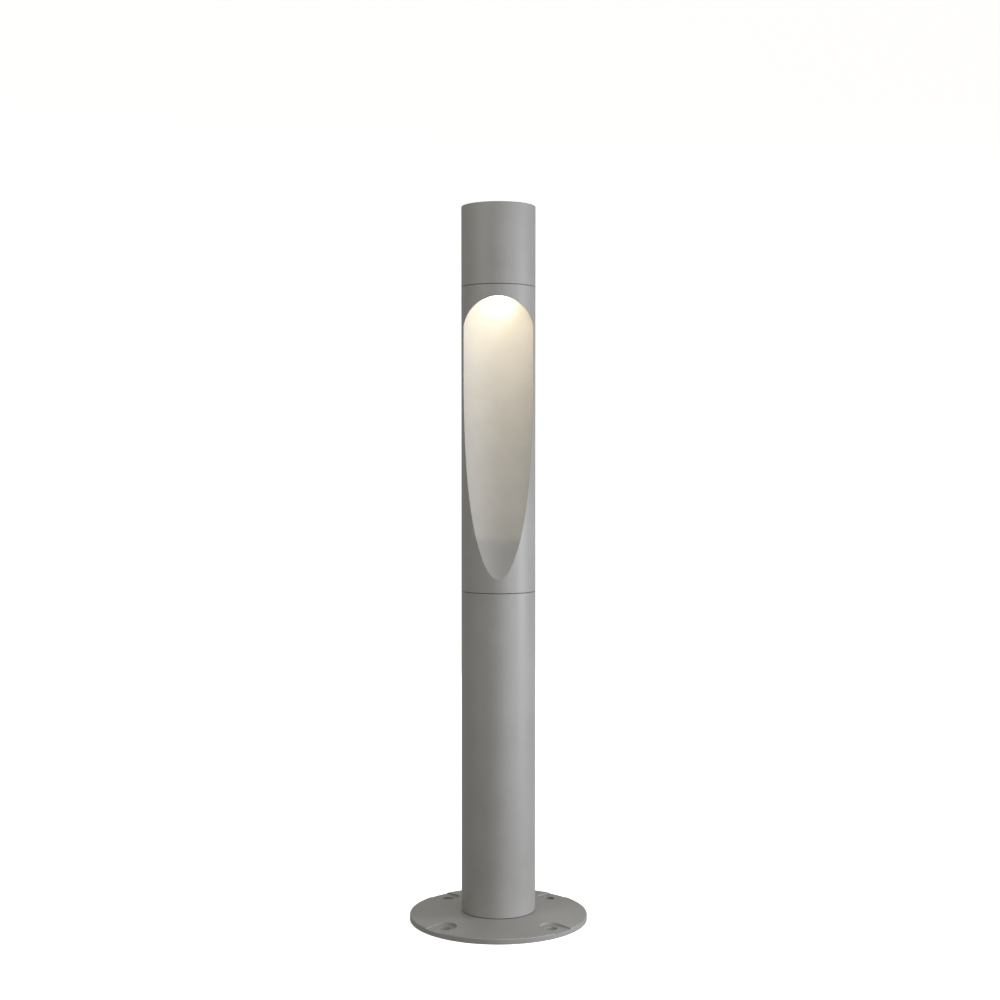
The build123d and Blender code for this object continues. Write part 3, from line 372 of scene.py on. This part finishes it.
casting, tree, shader, place = new_finish("raw_cast_aluminium")
edge, rounded = worn_edge(tree, casting_edge_width)
pits = noise(tree, place, casting_pit_size, five_layers)
cloud = ranged(tree, noise(tree, place, casting_cloud_size, three_layers), wide_band, none_to_all)
colour = mixed(tree, edge, mixed(tree, cloud, casting_grey, casting_pale), casting_pale)
rough = ranged(tree, pits, wide_band, casting_rough)
surface(tree, shader, colour, rough, bump(tree, pits, casting_pit_depth, rounded))
shader.inputs["Metallic"].default_value = casting_metal
dress(casting, "foot_plug")

# ---------------------------------------------------------------- cable gland
# Body and nut of the ground cable's gland are turned brass with nickel plate, bright and a little
# yellow where the plate has thinned on the hexagon's corners.
plate_nickel = (0.60, 0.575, 0.52, 1.0)
plate_thin = (0.66, 0.55, 0.33, 1.0)
nickel_edge_width = 0.0004
nickel_edge_band = (0.3, 1.0)
nickel_edge_share = (0.0, 0.8)
nickel_mark_size = 0.0016
nickel_mark_stretch = (0.3, 0.3, 6.0)
nickel_rough = (0.18, 0.34)

nickel, tree, shader, place = new_finish("nickel_plated_brass")
edge, rounded = worn_edge(tree, nickel_edge_width)
marks = noise(tree, stretched(tree, place, nickel_mark_stretch), nickel_mark_size)
colour = mixed(tree, ranged(tree, edge, nickel_edge_band, nickel_edge_share), plate_nickel, plate_thin)
rough = ranged(tree, marks, wide_band, nickel_rough)
surface(tree, shader, colour, rough, bump(tree, marks, tool_mark_depth, rounded))
shader.inputs["Metallic"].default_value = 1.0
dress(nickel, "gland_body", "gland_nut")

# ---------------------------------------------------------------- zinc-plated sheet
# The terminal bracket, the driver's angle bracket and the earth lug are cut and bent from rolled
# steel with bluish zinc plate: faint rolling lines, soft clouds and brighter cut edges.
zinc_blue = (0.45, 0.47, 0.49, 1.0)
zinc_pale = (0.62, 0.63, 0.63, 1.0)
zinc_edge_width = 0.0004
zinc_cloud_size = 0.009
zinc_rolling_size = 0.012
zinc_rolling_stretch = (14.0, 14.0, 0.6)
zinc_rough = (0.30, 0.46)

zinc, tree, shader, place = new_finish("zinc_plated_sheet")
edge, rounded = worn_edge(tree, zinc_edge_width)
rolling = noise(tree, stretched(tree, place, zinc_rolling_stretch), zinc_rolling_size, three_layers)
cloud = ranged(tree, noise(tree, place, zinc_cloud_size, four_layers), narrow_band, none_to_all)
colour = mixed(tree, edge, mixed(tree, cloud, zinc_blue, zinc_pale), zinc_pale)
rough = ranged(tree, rolling, wide_band, zinc_rough)
surface(tree, shader, colour, rough, bump(tree, rolling, tool_mark_depth, rounded))
shader.inputs["Metallic"].default_value = 1.0
dress(zinc, "terminal_bracket", "driver_bracket", "earth_lug")

# ---------------------------------------------------------------- terminal block
# Three-way block in cream heat-proof plastic with a fine spark-eroded texture, screwed to the
# bracket. The flex's cores enter from above, and the ground cable's cores from below.
block_cream = (0.62, 0.57, 0.45, 1.0)
block_cream_pale = (0.70, 0.66, 0.54, 1.0)
block_grain_size = 0.0005
block_rough = 0.45
moulding_edge_width = 0.0003
moulding_edge_share = (0.0, 0.6)
moulding_cloud_size = 0.012
moulding_grain_depth = 0.00002
moulding_rough_spread = 0.12


def moulded(name, dark, pale, grain_size, smoothest):
    """Moulded plastic: soft clouds between two colours, a fine mould grain and softened edges."""
    finish, tree, shader, place = new_finish(name)
    edge, rounded = worn_edge(tree, moulding_edge_width)
    cloud = ranged(tree, noise(tree, place, moulding_cloud_size, three_layers), narrow_band, none_to_all)
    grain = noise(tree, place, grain_size)
    edge_share = ranged(tree, edge, none_to_all, moulding_edge_share)
    colour = mixed(tree, edge_share, mixed(tree, cloud, dark, pale), pale)
    rough = ranged(tree, grain, wide_band, (smoothest, smoothest + moulding_rough_spread))
    surface(tree, shader, colour, rough, bump(tree, grain, moulding_grain_depth, rounded))
    return finish


cream_plastic = moulded(
    "cream_terminal_plastic", block_cream, block_cream_pale, block_grain_size, block_rough
)
dress(cream_plastic, "terminal_block")

# ---------------------------------------------------------------- brass screws
# The block's clamping screws and the earth screw are bare turned brass, dulled to brown in
# places. The first hold the cores in the block, and the second holds the earth lug.
brass_fresh = (0.76, 0.56, 0.25, 1.0)
brass_dull = (0.44, 0.29, 0.12, 1.0)
brass_edge_width = 0.0002
brass_cloud_size = 0.0018
brass_cloud_band = (0.4, 0.7)
brass_rough = (0.25, 0.45)

brass, tree, shader, place = new_finish("bare_turned_brass")
edge, rounded = worn_edge(tree, brass_edge_width)
cloud = noise(tree, place, brass_cloud_size, four_layers)
dulled = mixed(tree, ranged(tree, cloud, brass_cloud_band, none_to_all), brass_fresh, brass_dull)
colour = mixed(tree, edge, dulled, brass_fresh)
rough = ranged(tree, cloud, wide_band, brass_rough)
surface(tree, shader, colour, rough, bump(tree, cloud, tool_mark_depth, rounded))
shader.inputs["Metallic"].default_value = 1.0
dress(brass, "terminal_screws", "earth_screw")

# ---------------------------------------------------------------- black mouldings
# The strain clip, the swivel's bearing washer and the sealed driver's case are black plastic.
# The driver's case has the coarser texture of a glass-filled moulding.
moulding_black = (0.016, 0.016, 0.017, 1.0)
moulding_black_pale = (0.035, 0.035, 0.037, 1.0)
nylon_grain_size = 0.0004
nylon_rough = 0.42
case_grain_size = 0.0009
case_rough = 0.5

nylon = moulded("black_nylon", moulding_black, moulding_black_pale, nylon_grain_size, nylon_rough)
dress(nylon, "strain_clip", "swivel_washer")
case = moulded(
    "driver_case_plastic", moulding_black, moulding_black_pale, case_grain_size, case_rough
)
dress(case, "driver")

# ---------------------------------------------------------------- flex
# Round three-core flex in a soft black sheath, where the cores show faintly as a slow twist. It
# rises on the post's axis, so turning the head twists it but doesn't move it.
sheath_black = (0.014, 0.014, 0.015, 1.0)
sheath_scuffed = (0.05, 0.05, 0.052, 1.0)
sheath_twist_scale = 18.0
sheath_twist_wander = 1.5
sheath_twist_depth = 0.0001
sheath_scuff_size = 0.006
sheath_scuff_stretch = (3.0, 3.0, 0.4)
sheath_scuff_band = (0.5, 0.8)
sheath_grain_size = 0.0005
sheath_grain_depth = 0.00002
sheath_rough_band = (0.4, 0.8)
sheath_rough = (0.42, 0.65)

sheath, tree, shader, place = new_finish("soft_flex_sheath")
twist = tree.nodes.new("ShaderNodeTexWave")
twist.bands_direction = "DIAGONAL"
twist.inputs["Scale"].default_value = sheath_twist_scale
twist.inputs["Distortion"].default_value = sheath_twist_wander
tree.links.new(place, twist.inputs["Vector"])
scuff = noise(tree, stretched(tree, place, sheath_scuff_stretch), sheath_scuff_size, four_layers)
scuffed = ranged(tree, scuff, sheath_scuff_band, none_to_all)
colour = mixed(tree, scuffed, sheath_black, sheath_scuffed)
rough = ranged(tree, scuff, sheath_rough_band, sheath_rough)
lay = bump(tree, twist.outputs["Fac"], sheath_twist_depth)
grain = bump(tree, noise(tree, place, sheath_grain_size), sheath_grain_depth, lay)
surface(tree, shader, colour, rough, grain)
dress(sheath, "post_flex", "head_flex")

# ---------------------------------------------------------------- insulated cores
# Glossy extruded insulation. The flex's cores are blue, black and brown from left to right, and
# the earth lead is green with a yellow stripe. The lamp's pair comes out all black, because a
# half width of 0 leaves no band for its red.
core_blue = (0.03, 0.10, 0.35, 1.0)
core_brown = (0.14, 0.05, 0.02, 1.0)
core_black = (0.015, 0.015, 0.016, 1.0)
core_red = (0.42, 0.02, 0.015, 1.0)
earth_green = (0.02, 0.22, 0.05, 1.0)
earth_yellow = (0.75, 0.60, 0.03, 1.0)
earth_stripe_band = (0.28, 0.34)
drawn_mark_size = 0.0008
insulation_rough = (0.28, 0.40)
flex_middle_half = 0.0007
pair_middle_half = 0.0
side_sharpness = 0.98


def insulation(name, colour_from):
    """Glossy extruded insulation, coloured by colour_from(tree, place)."""
    finish, tree, shader, place = new_finish(name)
    drawn = noise(tree, place, drawn_mark_size)
    rough = ranged(tree, drawn, wide_band, insulation_rough)
    surface(tree, shader, colour_from(tree, place), rough, bump(tree, drawn, tool_mark_depth))
    return finish


def by_side(first, middle, last, half_width):
    """Colour picked by how far left or right a place is: first, middle, then last."""

    def colour(tree, place):
        across = split(tree, place)["X"]
        near = half_width * side_sharpness
        left = ranged(tree, across, (-half_width, -near), none_to_all)
        right = ranged(tree, across, (near, half_width), none_to_all)
        return mixed(tree, right, mixed(tree, left, first, middle), last)

    return colour


def striped(tree, place):
    """Green with a yellow stripe along the lead's far side."""
    facing = split(tree, tree.nodes.new("ShaderNodeNewGeometry").outputs["Normal"])["X"]
    return mixed(tree, ranged(tree, facing, earth_stripe_band, none_to_all), earth_green, earth_yellow)


flex_colours = by_side(core_blue, core_black, core_brown, flex_middle_half)
pair_colours = by_side(core_black, core_red, core_red, pair_middle_half)
dress(insulation("flex_core_colours", flex_colours), "block_cores")
dress(insulation("lamp_lead_colours", pair_colours), "lamp_leads")
dress(insulation("earth_lead_stripe", striped), "earth_lead")

# ---------------------------------------------------------------- turned aluminium
# The swivel's hub and the lens frame are turned from bar, so fine rings run round their axis and
# their faces show a soft silver bloom.
turned_silver = (0.62, 0.62, 0.625, 1.0)
turned_bright = (0.76, 0.76, 0.765, 1.0)
turned_edge_width = 0.0004
turned_cloud_size = 0.008
turned_ring_scale = 420.0
turned_ring_wander = 0.4
turned_ring_depth = 0.000008
turned_rough = (0.26, 0.38)

turned, tree, shader, place = new_finish("turned_aluminium")
edge, rounded = worn_edge(tree, turned_edge_width)
rings = tree.nodes.new("ShaderNodeTexWave")
rings.wave_type = "RINGS"
rings.rings_direction = "Z"
rings.inputs["Scale"].default_value = turned_ring_scale
rings.inputs["Distortion"].default_value = turned_ring_wander
tree.links.new(place, rings.inputs["Vector"])
cloud = ranged(tree, noise(tree, place, turned_cloud_size, three_layers), wide_band, none_to_all)
colour = mixed(tree, edge, mixed(tree, cloud, turned_silver, turned_bright), turned_bright)
rough = ranged(tree, rings.outputs["Fac"], none_to_all, turned_rough)
surface(tree, shader, colour, rough, bump(tree, rings.outputs["Fac"], turned_ring_depth, rounded))
shader.inputs["Metallic"].default_value = 1.0
dress(turned, "swivel_spigot", "lens_frame")

# ---------------------------------------------------------------- lens gasket
# Die-cut ring of red-brown silicone sponge. The lens frame presses the lens onto it, so that it
# seals the deck.
silicone_red = (0.30, 0.075, 0.045, 1.0)
silicone_pale = (0.42, 0.13, 0.085, 1.0)
silicone_grain_size = 0.0006
silicone_rough = 0.6

silicone = moulded("silicone_sponge", silicone_red, silicone_pale, silicone_grain_size, silicone_rough)
dress(silicone, "lens_gasket")

# ---------------------------------------------------------------- lens
# Clear toughened glass disc with ground edges, a little hazed by dust. The lens frame presses it
# onto its gasket.
glass_clear = (0.97, 0.98, 0.96, 1.0)
glass_ior = 1.5
glass_haze_size = 0.004
glass_haze_band = (0.4, 0.8)
glass_haze_depth = 0.000004
glass_rough = (0.03, 0.16)

glass, tree, shader, place = new_finish("lens_glass")
haze = noise(tree, place, glass_haze_size, four_layers)
shader.inputs["Base Color"].default_value = glass_clear
tree.links.new(ranged(tree, haze, glass_haze_band, glass_rough), shader.inputs["Roughness"])
tree.links.new(bump(tree, haze, glass_haze_depth), shader.inputs["Normal"])
shader.inputs["Transmission Weight"].default_value = 1.0
shader.inputs["IOR"].default_value = glass_ior
dress(glass, "lens")

# ---------------------------------------------------------------- LED board
# Metal-core disc under glossy white solder resist, with the pattern of the copper under it. The
# lens frame carries it, and a tab behind the lens carries the lead connector.
resist_white = (0.78, 0.78, 0.75, 1.0)
resist_over_copper = (0.70, 0.69, 0.64, 1.0)
copper_scale = 160.0
copper_gap = 0.06
copper_depth = 0.00003
resist_cloud_size = 0.002
resist_rough = (0.22, 0.34)

board, tree, shader, place = new_finish("white_solder_resist")
copper = tree.nodes.new("ShaderNodeTexBrick")
copper.inputs["Scale"].default_value = copper_scale
copper.inputs["Mortar Size"].default_value = copper_gap
tree.links.new(place, copper.inputs["Vector"])
colour = mixed(tree, copper.outputs["Fac"], resist_over_copper, resist_white)
rough = ranged(tree, noise(tree, place, resist_cloud_size), wide_band, resist_rough)
surface(tree, shader, colour, rough, bump(tree, copper.outputs["Fac"], copper_depth))
dress(board, "led_board")

# ---------------------------------------------------------------- LED chips
# Four warm white LEDs under yellow phosphor gel, soldered below the board and lit. They glow
# evenly, and the gel is paler in places.
phosphor_yellow = (0.90, 0.66, 0.18, 1.0)
phosphor_pale = (0.95, 0.82, 0.45, 1.0)
lamp_warm = (1.0, 0.875, 0.69)
chip_glow = 14.0
gel_size = 0.0012
gel_depth = 0.00002
gel_rough = (0.2, 0.35)

chips, tree, shader, place = new_finish("lit_phosphor")
gel = noise(tree, place, gel_size, three_layers)
colour = mixed(tree, gel, phosphor_yellow, phosphor_pale)
surface(tree, shader, colour, ranged(tree, gel, wide_band, gel_rough), bump(tree, gel, gel_depth))
shader.inputs["Emission Color"].default_value = (*lamp_warm, 1.0)
shader.inputs["Emission Strength"].default_value = chip_glow
dress(chips, "led_chips")

# ---------------------------------------------------------------- lead connector
# Small white nylon connector, soldered to the tab of the LED board. The lamp's pair of leads
# plugs into it.
connector_white = (0.70, 0.70, 0.67, 1.0)
connector_shadow = (0.60, 0.60, 0.56, 1.0)
connector_grain_size = 0.0005
connector_rough = 0.35

connector = moulded(
    "white_connector_nylon", connector_shadow, connector_white, connector_grain_size, connector_rough
)
dress(connector, "board_connector")

# ---------------------------------------------------------------- thermal pad
# Soft blue-grey silicone pad with a fine fabric print, between the board and the heat sink. It
# carries the LEDs' heat across.
pad_blue = (0.25, 0.33, 0.45, 1.0)
pad_pale = (0.36, 0.43, 0.53, 1.0)
pad_print_size = 0.0008
pad_rough = 0.65

dress(moulded("thermal_pad_gel", pad_blue, pad_pale, pad_print_size, pad_rough), "thermal_pad")

# ---------------------------------------------------------------- heat sink
# Machined aluminium plate and fins, anodised black. The dye is thinner on the fins' sharp edges,
# and fine cutter lines run along the fins.
anodised_black = (0.014, 0.014, 0.016, 1.0)
anodised_worn = (0.16, 0.16, 0.165, 1.0)
anodised_edge_width = 0.0003
anodised_wear_size = 0.004
anodised_wear_band = (0.4, 0.7)
anodised_wear_share = (0.2, 1.0)
anodised_line_size = 0.003
anodised_line_stretch = (8.0, 0.5, 8.0)
anodised_rough = (0.38, 0.52)
anodised_metal = 0.6

anodised, tree, shader, place = new_finish("black_anodised_aluminium")
edge, rounded = worn_edge(tree, anodised_edge_width)
lines = noise(tree, stretched(tree, place, anodised_line_stretch), anodised_line_size)
wear = noise(tree, place, anodised_wear_size, four_layers)
rub = tree.nodes.new("ShaderNodeMath")
rub.operation = "MULTIPLY"
tree.links.new(edge, rub.inputs[0])
tree.links.new(ranged(tree, wear, anodised_wear_band, anodised_wear_share), rub.inputs[1])
colour = mixed(tree, rub.outputs["Value"], anodised_black, anodised_worn)
rough = ranged(tree, lines, wide_band, anodised_rough)
surface(tree, shader, colour, rough, bump(tree, lines, tool_mark_depth, rounded))
shader.inputs["Metallic"].default_value = anodised_metal
dress(anodised, "heat_sink")

# ---------------------------------------------------------------- lamp light
# What the lens throws: a wide warm light from the lens itself, and below it the glow that the
# lens spreads down the recess, as small panels that face its back and fade towards its foot.
wide_light_d = 0.018
wide_light_power = 0.09
wide_light_drop = 0.0015
glow_size = (0.060, 0.040)
glow_top_below_lens = 0.045
glow_step = 0.035
glow_count = 7
glow_first_power = 0.025
glow_fade = 0.68
glow_setback = 0.0045
lens_low, lens_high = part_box("lens")
head_low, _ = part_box("head_body")
glow_y = head_low.y + glow_setback


def lamp_panel(name, shape, size, power, place, turn):
    """Warm light panel that rides on the head; turn is its tip from shining straight down."""
    made = bpy.data.objects.new(name, bpy.data.lights.new(name, "AREA"))
    made.data.shape = shape
    made.data.size, made.data.size_y = size
    made.data.energy = power
    made.data.color = lamp_warm
    made.location = place
    made.rotation_euler = (turn, 0.0, 0.0)
    bpy.context.scene.collection.objects.link(made)
    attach(made, "head")


wide_size = (wide_light_d, wide_light_d)
wide_place = (0.0, (lens_low.y + lens_high.y) / 2, lens_low.z - wide_light_drop)
lamp_panel("lamp_wide", "ELLIPSE", wide_size, wide_light_power, wide_place, 0.0)
for step in range(glow_count):
    glow_place = (0.0, glow_y, lens_low.z - glow_top_below_lens - glow_step * step)
    glow_power = glow_first_power * glow_fade**step
    lamp_panel(f"lamp_glow_{step}", "RECTANGLE", glow_size, glow_power, glow_place, pi / 2)
